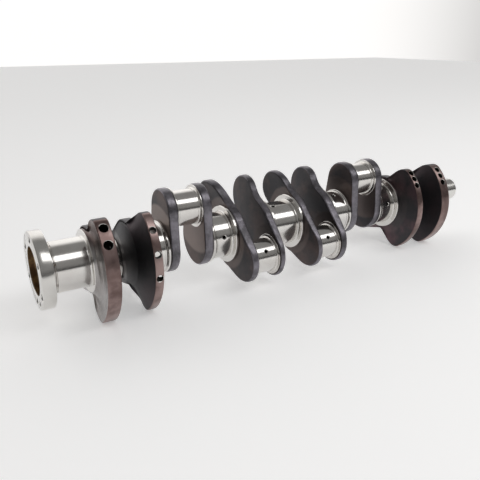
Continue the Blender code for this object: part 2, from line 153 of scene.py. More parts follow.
class Field:
    """A number that varies over a surface."""

    def __init__(self, tree, socket):
        self.tree = tree
        self.socket = socket

    def math(self, operation, *others):
        values = {f"i{i}": v for i, v in enumerate((self, *others))}
        node = add_node(self.tree, "ShaderNodeMath", {"operation": operation}, **values)
        return Field(self.tree, node.outputs[0])

    def reflected(self, operation, other):
        settings = {"operation": operation}
        node = add_node(self.tree, "ShaderNodeMath", settings, i0=other, i1=self)
        return Field(self.tree, node.outputs[0])

    def __add__(self, other):
        return self.math("ADD", other)

    __radd__ = __add__

    def __sub__(self, other):
        return self.math("SUBTRACT", other)

    def __rsub__(self, other):
        return self.reflected("SUBTRACT", other)

    def __mul__(self, other):
        return self.math("MULTIPLY", other)

    __rmul__ = __mul__

    def step(self, low, high):
        """0 below low, 1 above high, and a smooth ramp between them."""
        node = add_node(
            self.tree,
            "ShaderNodeMapRange",
            {"interpolation_type": "SMOOTHSTEP"},
            Value=self,
            From_Min=low,
            From_Max=high,
        )
        return Field(self.tree, node.outputs["Result"])


class Finish:
    """A Principled material under construction."""

    def __init__(self, name, metallic=1.0):
        self.material = bpy.data.materials.new(name)
        self.material.use_nodes = True
        self.tree = self.material.node_tree
        self.shader = self.tree.nodes["Principled BSDF"]
        self.shader.inputs["Metallic"].default_value = metallic
        coordinates = self.tree.nodes.new("ShaderNodeTexCoord")
        self.place = Field(self.tree, coordinates.outputs["Object"])
        split = add_node(self.tree, "ShaderNodeSeparateXYZ", Vector=self.place)
        self.x, self.y, self.z = (Field(self.tree, split.outputs[i]) for i in range(3))

    def radius(self, centre):
        """Distance from a line along X through a centre."""
        across = self.y - centre.y
        up = self.z - centre.z
        return (across * across + up * up).math("SQRT")

    def vector(self, x, y, z):
        node = add_node(self.tree, "ShaderNodeCombineXYZ", X=x, Y=y, Z=z)
        return Field(self.tree, node.outputs[0])

    def noise(self, scale, detail=3.0, rough=0.55, where=None):
        node = add_node(
            self.tree,
            "ShaderNodeTexNoise",
            Vector=where or self.place,
            Scale=scale,
            Detail=detail,
            Roughness=rough,
        )
        return Field(self.tree, node.outputs["Fac"])

    def mix(self, share, one, other):
        """A colour from one to the other."""
        node = add_node(self.tree, "ShaderNodeMix", {"data_type": "RGBA"}, i0=share)
        for socket, value in ((node.inputs[6], one), (node.inputs[7], other)):
            if isinstance(value, Field):
                self.tree.links.new(value.socket, socket)
            else:
                socket.default_value = (*value, 1.0)
        return Field(self.tree, node.outputs[2])

    def set(self, name, value):
        socket = self.shader.inputs[name]
        if isinstance(value, Field):
            self.tree.links.new(value.socket, socket)
        elif isinstance(value, tuple):
            socket.default_value = (*value, 1.0)
        else:
            socket.default_value = value

    def bump(self, height, distance):
        node = add_node(
            self.tree, "ShaderNodeBump", Height=height, Distance=distance, Strength=1.0
        )
        self.tree.links.new(node.outputs[0], self.shader.inputs["Normal"])


# %% [markdown]
# ## Ground and turned steel
#
# A journal is ground by a wheel that runs round it, so its marks are fine lines round the axis.
# Noise that is stretched round the axis reads only X and the radius, and gives those lines.

# %% Bright finishes
def bright_finish(name, centre, colour, shade, roughness, lines):
    """Steel with fine lines round its axis, some haze, and a film of oil in patches."""
    finish = Finish(name)
    radius = finish.radius(centre)
    around = finish.vector(finish.x, radius, 0.0)
    fine = finish.noise(9000.0, 2.0, 0.7, around)
    broad = finish.noise(700.0, 3.0, 0.6, around)
    patch = finish.noise(28.0, 3.0, 0.6)
    finish.set("Base Color", finish.mix(patch.step(0.35, 0.7) * 0.5, colour, shade))
    finish.set("Roughness", roughness + (fine - 0.5) * 0.1 + (patch - 0.5) * 0.08)
    finish.bump(fine * 0.6 + broad * 0.4, lines * MM)
    return finish.material


GROUND_COLOUR = (0.74, 0.725, 0.70)
GROUND_SHADE = (0.62, 0.585, 0.56)
TURNED_COLOUR = (0.70, 0.69, 0.665)
TURNED_SHADE = (0.60, 0.57, 0.54)
ground_steel = bright_finish(
    "ground_steel", AXIS, GROUND_COLOUR, GROUND_SHADE, 0.15, 0.0035
)
turned_steel = bright_finish(
    "turned_steel", AXIS, TURNED_COLOUR, TURNED_SHADE, 0.2, 0.006
)
pin_steels = {
    tuple(round(v, 4) for v in centre.yz): None for centre in PIN_CENTRES.values()
}
for number, key in enumerate(pin_steels):
    centre = Vector((0.0, *key))
    pin_steels[key] = bright_finish(
        f"ground_pin_steel_{number + 1}", centre, GROUND_COLOUR, GROUND_SHADE, 0.15, 0.0035
    )
print("pin finishes:", len(pin_steels))

# %% Bores painted near black as shade, golden recess and bronze
# Painted shade: the walls inside every drilled hole are near black, for the shade deep in a
# hole. The noise mottles them from black to dark brown.
painted_shade_bore = Finish("painted_shade_bore", metallic=0.6)
bore_shade_mottle = painted_shade_bore.noise(900.0)
BORE_SHADE_BLACK, BORE_SHADE_BROWN = (0.010, 0.009, 0.008), (0.030, 0.022, 0.015)
painted_shade_bore.set("Base Color", painted_shade_bore.mix(bore_shade_mottle, BORE_SHADE_BLACK, BORE_SHADE_BROWN))
painted_shade_bore.set("Roughness", 0.5 + bore_shade_mottle * 0.2)
painted_shade_bore.bump(bore_shade_mottle, 0.02 * MM)

# The faces of the flange's recess are golden brown, mottled with darker brown.
golden_recess = Finish("varnished_steel")
recess_mottle = golden_recess.noise(60.0, 4.0, 0.6)
RECESS_GOLD, RECESS_BROWN = (0.36, 0.25, 0.13), (0.16, 0.10, 0.06)
golden_recess.set("Base Color", golden_recess.mix(recess_mottle.step(0.35, 0.65), RECESS_GOLD, RECESS_BROWN))
golden_recess.set("Roughness", 0.3 + recess_mottle * 0.2)
golden_recess.bump(golden_recess.noise(2500.0), 0.01 * MM)

bronze = Finish("bearing_bronze")
pores = bronze.noise(1800.0, 4.0, 0.7)
BRONZE_PALE, BRONZE_DARK = (0.50, 0.34, 0.16), (0.36, 0.24, 0.12)
bronze.set("Base Color", bronze.mix(pores.step(0.4, 0.6), BRONZE_PALE, BRONZE_DARK))
bronze.set("Roughness", 0.3 + pores * 0.2)
bronze.bump(pores, 0.02 * MM)

# %% [markdown]
# ## Turned pieces
#
# A journal is a stack of rings on one axis. A circle is extruded along X and scaled at each
# step of a profile, as a lathe's tool steps along the bar. Fillets take several short steps.

# %% Lathe helper
SEGMENTS = 120
BIT_SEGMENTS = 40
SHARP_ANGLE = math.radians(32.0)
MERGE_DISTANCE = 0.002 * MM


def start_ring(name, x, radius, centre, filled):
    """Adds a circle square to X, in edit mode and selected."""
    bpy.ops.object.select_all(action="DESELECT")
    bpy.ops.mesh.primitive_circle_add(
        vertices=SEGMENTS,
        radius=radius,
        fill_type="NGON" if filled else "NOTHING",
        location=(x, centre.y, centre.z),
        rotation=(0.0, math.pi / 2, 0.0),
    )
    piece = bpy.context.object
    piece.name = name
    bpy.ops.object.transform_apply(location=True, rotation=True, scale=True)
    bpy.ops.object.mode_set(mode="EDIT")
    bpy.ops.mesh.select_all(action="SELECT")
    return piece


def turn(name, steps, centre, closed=False):
    """A turned piece from (x, radius) steps. A closed profile returns to its first step."""
    piece = start_ring(name, *steps[0], centre, filled=not closed)
    rest = steps[1:] + ([steps[0]] if closed else [])
    x, radius = steps[0]
    for next_x, next_radius in rest:
        bpy.ops.mesh.extrude_region_move(
            TRANSFORM_OT_translate={"value": (next_x - x, 0.0, 0.0)}
        )
        if next_radius != radius:
            scale = next_radius / radius
            bpy.ops.transform.resize(
                value=(1.0, scale, scale), center_override=(next_x, centre.y, centre.z)
            )
        x, radius = next_x, next_radius
    bpy.ops.mesh.select_all(action="SELECT")
    bpy.ops.mesh.remove_doubles(threshold=MERGE_DISTANCE)
    bpy.ops.mesh.normals_make_consistent(inside=False)
    bpy.ops.object.mode_set(mode="OBJECT")
    return piece


def coat(piece, *materials):
    """Fills a piece's material slots, which a drill's faces then refer to by number."""
    for material in materials:
        piece.data.materials.append(material)


def dress(piece, node, slot, *materials):
    """Shades a finished piece, gives it its materials and ties it to the frame."""
    if not piece.data.materials:
        coat(piece, *materials)
    bpy.ops.object.select_all(action="DESELECT")
    piece.select_set(True)
    bpy.context.view_layer.objects.active = piece
    bpy.ops.object.shade_smooth_by_angle(angle=SHARP_ANGLE)
    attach(piece, "root")
    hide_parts(node)


def drill(piece, cutter):
    """Takes a cutter out of a piece, and removes the cutter. Its faces keep their slots."""
    cut = piece.modifiers.new("drilled", "BOOLEAN")
    cut.operation = "DIFFERENCE"
    cut.solver = "EXACT"
    cut.object = cutter
    bpy.ops.object.select_all(action="DESELECT")
    piece.select_set(True)
    bpy.context.view_layer.objects.active = piece
    bpy.ops.object.modifier_apply(modifier=cut.name)
    bpy.data.objects.remove(cutter, do_unlink=True)


def drill_bit(surface, direction, radius, depth, mouth, bore_slot, mouth_slot):
    """A drill with a wider mouth, which goes in at a surface point against a direction."""
    bpy.ops.object.select_all(action="DESELECT")
    bpy.ops.mesh.primitive_circle_add(vertices=BIT_SEGMENTS, radius=radius, fill_type="NGON")
    bit = bpy.context.object
    bpy.ops.object.mode_set(mode="EDIT")
    bpy.ops.mesh.select_all(action="SELECT")
    for rise, scale in (
        (depth, 1.0),
        (mouth, (radius + mouth) / radius),
        (4 * mouth, 1.0),
    ):
        bpy.ops.mesh.extrude_region_move(TRANSFORM_OT_translate={"value": (0.0, 0.0, rise)})
        if scale != 1.0:
            bpy.ops.transform.resize(value=(scale, scale, 1.0), center_override=(0.0, 0.0, 0.0))
    bpy.ops.mesh.select_all(action="SELECT")
    bpy.ops.mesh.normals_make_consistent(inside=False)
    bpy.ops.object.mode_set(mode="OBJECT")
    # The bore's faces take bore_slot, which holds the painted-shade bore material in every
    # piece drilled here.
    for face in bit.data.polygons:
        in_bore = face.center.z < depth + 0.1 * mouth
        face.material_index = bore_slot if in_bore else mouth_slot
    bit.matrix_world = direction.to_track_quat("Z", "Y").to_matrix().to_4x4()
    bit.location = surface - direction * (depth + mouth)
    bpy.ops.object.transform_apply(location=True, rotation=True, scale=True)
    return bit


def direction_at(angle):
    return Vector((0.0, math.cos(angle), math.sin(angle)))


# %% [markdown]
# ## Journals and pins
#
# Each end of a journal has a raised collar that takes the bearing's side load, and a fillet
# runs from it down to the ground surface. An undercut line shows where the wheel stopped.

# %% Journal profiles
MAIN_RADIUS = 35.0 * MM
PIN_RADIUS = 26.0 * MM
HEAVY_COLLAR = 44.0 * MM
PLAIN_COLLAR = 38.0 * MM
PIN_COLLAR = 31.2 * MM
MAIN_COLLAR_WIDTH = 4.5 * MM
PIN_COLLAR_WIDTH = 1.5 * MM
FILLET = 2.5 * MM
PLAIN_WEBS = (3, 4, 9, 10)
MIDDLE_WEBS = (5, 6, 7, 8)
FILLET_STEPS = 6


def journal_end(face, inward, radius, collar, width):
    """Steps from a journal's end face over its collar and down its fillet."""
    edge = 0.2 * width
    steps = [(face, collar - edge), (face + inward * edge, collar)]
    steps.append((face + inward * (width - edge), collar))
    steps.append((face + inward * width, collar - edge))
    for i in range(FILLET_STEPS + 1):
        turn_angle = math.pi / 2 * i / FILLET_STEPS
        steps.append(
            (
                face + inward * (width + FILLET * (1 - math.cos(turn_angle))),
                radius + FILLET * (1 - math.sin(turn_angle)),
            )
        )
    groove_x = face + inward * (width + FILLET)
    for along, deep in ((0.5, 0.0), (0.7, 0.25), (1.1, 0.25), (1.3, 0.0)):
        steps.append((groove_x + inward * along * MM, radius - deep * MM))
    return steps


def collar_of(web):
    return PLAIN_COLLAR if web in PLAIN_WEBS else HEAVY_COLLAR


def main_steps(node, rear_web, front_web):
    low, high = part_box(node)
    rear = journal_end(low.x, 1, MAIN_RADIUS, collar_of(rear_web), MAIN_COLLAR_WIDTH)
    front = journal_end(high.x, -1, MAIN_RADIUS, collar_of(front_web), MAIN_COLLAR_WIDTH)
    return rear + front[::-1]


# %% Inner main journals
OIL_RADIUS = 2.75 * MM
OIL_DEPTH = 9.0 * MM
OIL_MOUTH = 0.9 * MM
OIL_BORE_SLOT = 1
MAIN_OIL = {2: (168, 0.0), 3: (108, 0.0), 4: (108, -10.0), 5: (168, 0.0), 6: (228, 0.0)}

for number, (degrees, shift) in MAIN_OIL.items():
    node = f"main_journal_{number}"
    journal = turn(
        node + "_ground", main_steps(node, 2 * number - 1, 2 * number - 2), AXIS
    )
    out = direction_at(math.radians(degrees))
    spot = Vector((middle(node).x + shift * MM, AXIS.y, AXIS.z)) + out * MAIN_RADIUS
    coat(journal, ground_steel, painted_shade_bore.material)
    drill(journal, drill_bit(spot, out, OIL_RADIUS, OIL_DEPTH, OIL_MOUTH, OIL_BORE_SLOT, 0))
    dress(journal, node, "ground_steel")

# %% Crankpins
PIN_OIL_LEAD = math.radians(-68)
for number, centre in PIN_CENTRES.items():
    node = f"crankpin_{number}"
    low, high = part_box(node)
    ends = [
        journal_end(x, inward, PIN_RADIUS, PIN_COLLAR, PIN_COLLAR_WIDTH)
        for x, inward in ((low.x, 1), (high.x, -1))
    ]
    pin = turn(node + "_ground", ends[0] + ends[1][::-1], centre)
    out = direction_at(PIN_ANGLES[number] + PIN_OIL_LEAD)
    coat(pin, pin_steels[tuple(round(v, 4) for v in centre.yz)], painted_shade_bore.material)
    spot = centre + out * PIN_RADIUS
    drill(pin, drill_bit(spot, out, OIL_RADIUS, OIL_DEPTH, OIL_MOUTH, OIL_BORE_SLOT, 0))
    dress(pin, node, "ground_steel")
print("journals and pins:", len(MAIN_OIL) + len(PIN_CENTRES))

# %% [markdown]
# ## The two end journals
#
# The rear one runs into the flange through a relief groove, and its end is bored for the pilot
# bush. The front one stops at a shoulder where the nose begins.

# %% End journals
BUSH_RADIUS = 16.0 * MM
BUSH_BORE = 10.0 * MM
low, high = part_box("main_journal_7")
bush_low, bush_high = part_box("pilot_bush")
BORE_RADIUS = BUSH_RADIUS + 2 * HALF_GAP
UNDERCUT = 1.5 * MM
rear_steps = [
    (bush_high.x + 2 * HALF_GAP, BORE_RADIUS),
    (low.x, BORE_RADIUS),
    (low.x, MAIN_RADIUS - UNDERCUT),
    (low.x + 3.6 * MM, MAIN_RADIUS - UNDERCUT),
    (low.x + 4.6 * MM, MAIN_RADIUS - 0.6 * MM),
    (low.x + 5.2 * MM, MAIN_RADIUS - 0.6 * MM),
    (low.x + 6.0 * MM, MAIN_RADIUS),
]
rear_steps += journal_end(high.x, -1, MAIN_RADIUS, HEAVY_COLLAR, MAIN_COLLAR_WIDTH)[::-1]
rear_journal = turn("main_journal_7_ground", rear_steps, AXIS)
dress(rear_journal, "main_journal_7", "ground_steel", ground_steel)

low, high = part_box("main_journal_1")
front_steps = journal_end(low.x, 1, MAIN_RADIUS, HEAVY_COLLAR, MAIN_COLLAR_WIDTH)
front_steps += [(high.x - FILLET, MAIN_RADIUS), (high.x, MAIN_RADIUS - FILLET)]
front_journal = turn("main_journal_1_ground", front_steps, AXIS)
dress(front_journal, "main_journal_1", "ground_steel", ground_steel)

# %% [markdown]
# ## Rear flange and pilot bush
#
# The flange is turned, faced and drilled. Its recess takes the flywheel's register, and the
# recess is golden brown. Six bolt holes and one dowel hole have small chamfers, which catch
# the light.

# %% Flange
FLANGE_RADIUS = 52.6 * MM
RECESS_RADIUS = 33.0 * MM
RECESS_DEPTH = 9.0 * MM
BOLT_CIRCLE = 43.0 * MM
BOLT_HOLE, DOWEL_HOLE = 4.75 * MM, 4.0 * MM
FIRST_BOLT, DOWEL_ANGLE = 32, 247
CUT_DEPTH = 20.0 * MM
BOLT_MOUTH = 0.8 * MM
RECESS_SLOT, BOLT_BORE_SLOT = 1, 2
low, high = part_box("rear_flange")
flange_steps = [
    (low.x + 0.5 * MM, RECESS_RADIUS),
    (low.x, RECESS_RADIUS + 0.5 * MM),
    (low.x, FLANGE_RADIUS - 1.0 * MM),
    (low.x + 0.35 * MM, FLANGE_RADIUS - 0.35 * MM),
    (low.x + 1.0 * MM, FLANGE_RADIUS),
    (high.x - 1.0 * MM, FLANGE_RADIUS),
    (high.x - 0.35 * MM, FLANGE_RADIUS - 0.35 * MM),
    (high.x, FLANGE_RADIUS - 1.0 * MM),
    (high.x, BORE_RADIUS),
    (low.x + RECESS_DEPTH, BORE_RADIUS),
    (low.x + RECESS_DEPTH, RECESS_RADIUS - 1.2 * MM),
    (low.x + RECESS_DEPTH - 1.2 * MM, RECESS_RADIUS),
]
flange = turn("rear_flange_turned", flange_steps, AXIS, closed=True)
coat(flange, turned_steel, golden_recess.material, painted_shade_bore.material)
flange_holes = [(FIRST_BOLT + 60 * i, BOLT_HOLE) for i in range(6)]
flange_holes.append((DOWEL_ANGLE, DOWEL_HOLE))
for degrees, radius in flange_holes:
    spot = AXIS + direction_at(math.radians(degrees)) * BOLT_CIRCLE
    spot.x = low.x
    rearwards = Vector((-1.0, 0.0, 0.0))
    bit = drill_bit(spot, rearwards, radius, CUT_DEPTH, BOLT_MOUTH, BOLT_BORE_SLOT, 0)
    drill(flange, bit)
dress(flange, "rear_flange", "turned_steel")
for face in flange.data.polygons:
    out = math.hypot(face.center.y - AXIS.y, face.center.z - AXIS.z)
    if out < RECESS_RADIUS + 0.1 * MM and face.center.x > low.x + 0.4 * MM:
        face.material_index = RECESS_SLOT

# %% Pilot bush
bush_steps = [
    (bush_low.x + 0.8 * MM, BUSH_BORE),
    (bush_low.x, BUSH_BORE + 0.8 * MM),
    (bush_low.x, BUSH_RADIUS - 0.6 * MM),
    (bush_low.x + 0.6 * MM, BUSH_RADIUS),
    (bush_high.x, BUSH_RADIUS),
    (bush_high.x, BUSH_BORE),
]
bush = turn("pilot_bush_bronze", bush_steps, AXIS, closed=True)
dress(bush, "pilot_bush", "bearing_bronze", bronze.material)

# %% [markdown]
# ## Nose
#
# The gear seat and the smaller damper seat are turned in steps with chamfered corners. The
# damper seat has a keyway, which a milling cutter leaves with square sides.

# %% Nose
GEAR_SEAT_RADIUS = 26.0 * MM
NOSE_RADIUS = 20.3 * MM
GEAR_SEAT_LENGTH = 34.0 * MM
CENTRE_BORE = 8.0 * MM
KEY_LENGTH, KEY_WIDTH, KEY_CUT, KEY_DEPTH = 30.0 * MM, 6.0 * MM, 12.0 * MM, 3.5 * MM
low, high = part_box("front_nose")
step_x = low.x + GEAR_SEAT_LENGTH - 2 * HALF_GAP
nose_steps = [
    (low.x, GEAR_SEAT_RADIUS),
    (step_x - 1.5 * MM, GEAR_SEAT_RADIUS),
    (step_x, GEAR_SEAT_RADIUS - 1.5 * MM),
    (step_x, NOSE_RADIUS + 0.8 * MM),
    (step_x + 0.8 * MM, NOSE_RADIUS),
    (high.x - 1.5 * MM, NOSE_RADIUS),
    (high.x, NOSE_RADIUS - 1.5 * MM),
    (high.x, CENTRE_BORE + 1.5 * MM),
    (high.x - 1.5 * MM, CENTRE_BORE),
    (high.x - 30.0 * MM, CENTRE_BORE),
]
nose = turn("front_nose_turned", nose_steps, AXIS)
key_out = direction_at(PIN_ANGLES[1])
bpy.ops.object.select_all(action="DESELECT")
bpy.ops.mesh.primitive_cube_add(size=1.0)
key_cutter = bpy.context.object
key_cutter.scale = (KEY_LENGTH, KEY_WIDTH, KEY_CUT)
key_cutter.rotation_euler = (PIN_ANGLES[1] - math.pi / 2, 0.0, 0.0)
key_middle = Vector((step_x + KEY_LENGTH / 2, AXIS.y, AXIS.z))
key_cutter.location = key_middle + key_out * (NOSE_RADIUS - KEY_DEPTH + KEY_CUT / 2)
bpy.ops.object.transform_apply(location=True, rotation=True, scale=True)
drill(nose, key_cutter)
dress(nose, "front_nose", "turned_steel", turned_steel)
print("flange, bush and nose done")

# %% [markdown]
# ## Web outlines
#
# A web is a cheek round the journal and the pin, with a counterweight grown out of it. Seen
# along the shaft its outline is a distance from the axis for each angle. No operator draws a
# ring to such a formula, so the webs are the one kind of piece made from rings in code. The
# drilling and the shading are still done by operators.

# %% Outline helpers
OUTLINE_BLEND = 20.0 * MM
MIDDLE_BLEND = 18.0 * MM
SHAFT_TURN = math.radians(3.25)
PLAIN_MAIN_BOSS, PLAIN_PIN_BOSS = 39.0 * MM, 32.1 * MM
MIDDLE_MAIN_BOSS, MIDDLE_PIN_BOSS = 45.0 * MM, 34.8 * MM
END_MAIN_BOSS, END_PIN_BOSS = 48.0 * MM, 36.8 * MM
OUTER_WEIGHT, INNER_WEIGHT, MIDDLE_WEIGHT = 87.5 * MM, 85.6 * MM, 90.8 * MM
END_SPREAD = math.radians(62.0)
END_SLOPE = 130.0 * MM
EDGE = 1.5 * MM


def apart(one, other):
    """The unsigned angle between two directions."""
    return abs((one - other + math.pi) % (2 * math.pi) - math.pi)


def clamp(value):
    return min(max(value, 0.0), 1.0)


def smooth(value):
    value = clamp(value)
    return value * value * (3 - 2 * value)


def larger(one, other, blend):
    share = clamp(0.5 + 0.5 * (one - other) / blend)
    return other + (one - other) * share + blend * share * (1 - share)


def cheek_outline(angle, pin_angle, main_boss, pin_boss):
    """Two bosses and the straight lines that touch them both."""
    away = apart(angle, pin_angle)
    tangent = math.acos((main_boss - pin_boss) / THROW)
    touch = math.atan2(pin_boss * math.sin(tangent), THROW + pin_boss * math.cos(tangent))
    if away <= touch:
        return THROW * math.cos(away) + math.sqrt(pin_boss**2 - (THROW * math.sin(away)) ** 2)
    return main_boss / math.cos(away - tangent) if away < tangent else main_boss


def sector_outline(angle, radius):
    """An end counterweight: a wide sector with rounded shoulders."""
    away = apart(angle, math.pi + SHAFT_TURN)
    flank = radius - (away - END_SPREAD) * END_SLOPE
    return -larger(-radius, -flank, OUTLINE_BLEND)


def tongue_outline(angle, degrees, offset, radius):
    """Parallel sides that end in a half circle."""
    away = apart(angle, math.radians(degrees) + SHAFT_TURN)
    if away >= math.pi / 2:
        return 0.0
    if away >= math.atan2(radius, offset):
        return radius / math.sin(away)
    return offset * math.cos(away) + math.sqrt(radius**2 - (offset * math.sin(away)) ** 2)


def plain_outline(angle, pin_angle):
    return cheek_outline(angle, pin_angle, PLAIN_MAIN_BOSS, PLAIN_PIN_BOSS)


LOBE_RADIUS = 32.5 * MM
LOBE_DEGREES = 45
BELLY_DEGREES, BELLY_OFFSET, BELLY_RADIUS = 238, 17.5 * MM, 37.0 * MM
BELLY_BLEND = 2 * MM


def middle_outline(angle, pin_angle):
    cheek = cheek_outline(angle, pin_angle, MIDDLE_MAIN_BOSS, MIDDLE_PIN_BOSS)
    belly = tongue_outline(angle, BELLY_DEGREES, BELLY_OFFSET, BELLY_RADIUS)
    lobe = tongue_outline(angle, LOBE_DEGREES, MIDDLE_WEIGHT - LOBE_RADIUS, LOBE_RADIUS)
    return larger(larger(cheek, belly, BELLY_BLEND), lobe, MIDDLE_BLEND)


def end_outline(radius):
    def outline(angle, pin_angle):
        cheek = cheek_outline(angle, pin_angle, END_MAIN_BOSS, END_PIN_BOSS)
        return larger(cheek, sector_outline(angle, radius), OUTLINE_BLEND)

    return outline


# %% [markdown]
# ## Building a web
#
# The face starts flat round the journal and sweeps out to the rim in a curve, as a lathe tool
# leaves it on the real shaft. The rim's edges are rounded in a few short steps. Every face
# knows whether it lies on a side or on the rim, and takes its material from that.

# %% Web builder
RING_POINTS = 240
FACE_RINGS = 12
ROUND_STEPS = 5
FACE_SLOT, RIM_SLOT = 0, 1


def web_piece(name, outline, flat_radius, low, high, rounding, hollow, hub, materials):
    """low and high give (flat x, outline x) at an angle. hollow bends both sides inwards,
    and hub raises the low side round the journal."""
    angles = [2 * math.pi * i / RING_POINTS for i in range(RING_POINTS)]
    mesh_data = bmesh.new()

    def ring(place):
        points = []
        for angle in angles:
            x, radius = place(angle)
            points.append(mesh_data.verts.new((x, *(AXIS + direction_at(angle) * radius).yz)))
        return points

    def face_rings(side, inward):
        def at(share):
            def place(angle):
                flat_x, edge_x = side(angle)
                inner = min(flat_radius, outline(angle) - 2.5 * rounding)
                outer = outline(angle) - rounding
                x = flat_x + (edge_x - flat_x) * share**1.4
                x += inward * hollow * math.sin(math.pi * share)
                if inward > 0:
                    x -= hub * (1 - share) ** 5
                return x, inner + (outer - inner) * share**1.3

            return place

        return [ring(at(i / FACE_RINGS)) for i in range(FACE_RINGS + 1)]

    def rounded(side, inward):
        def at(turn_angle):
            def place(angle):
                return (
                    side(angle)[1] + inward * rounding * (1 - math.cos(turn_angle)),
                    outline(angle) - rounding * (1 - math.sin(turn_angle)),
                )

            return place

        return [ring(at(math.pi / 2 * i / ROUND_STEPS)) for i in range(1, ROUND_STEPS + 1)]

    rings = face_rings(low, 1) + rounded(low, 1)
    first_rim = len(rings) - ROUND_STEPS
    rings += rounded(high, -1)[::-1] + face_rings(high, -1)[::-1]
    last_rim = len(rings) - FACE_RINGS - 2
    for number, (one, other) in enumerate(zip(rings, rings[1:])):
        for i in range(RING_POINTS):
            j = (i + 1) % RING_POINTS
            face = mesh_data.faces.new((one[i], one[j], other[j], other[i]))
            face.material_index = RIM_SLOT if first_rim <= number < last_rim else FACE_SLOT
    mesh_data.faces.new(rings[0])
    mesh_data.faces.new(rings[-1])
    bmesh.ops.recalc_face_normals(mesh_data, faces=mesh_data.faces)
    mesh = bpy.data.meshes.new(name)
    mesh_data.to_mesh(mesh)
    mesh_data.free()
    for material in materials:
        mesh.materials.append(material)
    piece = bpy.data.objects.new(name, mesh)
    bpy.context.scene.collection.objects.link(piece)
    return piece


# %% [markdown]
# ## Forged and machined skins
#
# The forge leaves a charcoal skin with a brown or violet temper colour in patches. Where a
# tool has faced a side, round the pin or round the journal, there is a browner disc with
# arc-shaped marks. On webs 5 and 7 that disc is painted near black, as a dark reflection.
# The rims of the end weights are turned, and warm pink from the heat.

# %% Web finishes
SKIN_DARK = (0.050, 0.048, 0.052)
SKIN_BROWN = (0.125, 0.092, 0.086)
SKIN_VIOLET = (0.125, 0.078, 0.088)
DISC_BROWN = (0.22, 0.17, 0.15)
# Painted dark reflection: the near-black disc colour given to webs 5 and 7.
DISC_REFLECTION_BLACK = (0.022, 0.018, 0.016)
RIM_VIOLET = (0.25, 0.235, 0.265)
RIM_GREY = (0.085, 0.082, 0.088)
TURNED_PINK = (0.34, 0.25, 0.235)
TURNED_BROWN = (0.155, 0.105, 0.097)
# Painted dark reflection on the top of web 12's turned flare.
FLARE_REFLECTION_BROWN = (0.13, 0.098, 0.092)
FLARE_BRIGHT = (0.46, 0.445, 0.44)
FLARE_DULL = (0.25, 0.225, 0.22)


def side_finish(name, web, discs, warmth, disc_tone_and_reflection=DISC_BROWN, warm_colour=SKIN_BROWN):
    """The two sides of a web: forged skin, and a faced disc on each. On webs 5 and 7 the disc
    is a painted dark reflection.
    """
    finish = Finish(name, metallic=0.85)
    low, high = cheek_faces(web)
    patch = finish.noise(16.0, 4.0, 0.6)
    grain = finish.noise(900.0, 4.0, 0.65)
    broad = finish.noise(130.0, 3.0, 0.6)
    colour = finish.mix(patch.step(0.42, 0.68) * warmth, SKIN_DARK, warm_colour)
    on_high = finish.x.step((low + high) / 2 - 1 * MM, (low + high) / 2 + 1 * MM)
    rough = 0.46 + (grain - 0.5) * 0.2
    height = grain * 0.5 + broad
    for side, (centre, radius, share) in enumerate(discs):
        out = finish.radius(centre)
        ripple = (out + patch * 8 * MM).step(radius + 5 * MM, radius)
        faced = ripple * (on_high if side else 1 - on_high)
        marks = finish.noise(1500.0, 2.0, 0.6, finish.vector(out, 0.0, 0.0))
        tone = finish.mix(marks * 0.5, disc_tone_and_reflection, SKIN_BROWN)
        colour = finish.mix(faced * share, colour, tone)
        rough = rough - faced * 0.12
        height = height * (1 - faced) + marks * faced
    finish.set("Base Color", colour)
    finish.set("Roughness", rough)
    finish.bump(height, 0.06 * MM)
    return finish.material


def forged_rim(name):
    finish = Finish(name, metallic=0.8)
    patch = finish.noise(30.0, 4.0, 0.65)
    grain = finish.noise(700.0, 4.0, 0.7)
    streak = finish.noise(75.0, 4.0, 0.75).step(0.36, 0.64)
    tone = patch.step(0.38, 0.6) * 0.55 + streak * 0.45
    finish.set("Base Color", finish.mix(tone, RIM_GREY, RIM_VIOLET))
    finish.set("Roughness", 0.33 + (grain - 0.5) * 0.2 + (patch - 0.5) * 0.2)
    finish.bump(grain + finish.noise(110.0, 3.0, 0.6) * 1.5, 0.07 * MM)
    return finish.material


def turned_rim(name, shoulder):
    """Turned where the rim is at its full radius, and forged skin below that."""
    finish = Finish(name, metallic=0.95)
    out = finish.radius(AXIS)
    turned = out.step(shoulder - 3 * MM, shoulder - 1 * MM)
    around = finish.vector(finish.x, out, 0.0)
    lines = finish.noise(3500.0, 2.0, 0.7, around)
    patch = finish.noise(22.0, 4.0, 0.6)
    grain = finish.noise(700.0, 4.0, 0.7)
    metal = finish.mix(patch.step(0.38, 0.66), TURNED_PINK, TURNED_BROWN)
    finish.set("Base Color", finish.mix(turned, RIM_GREY, metal))
    finish.set("Roughness", 0.42 - turned * 0.12 + (lines - 0.5) * 0.12)
    finish.bump(lines * turned * 0.5 + grain * (1 - turned), 0.05 * MM)
    return finish.material


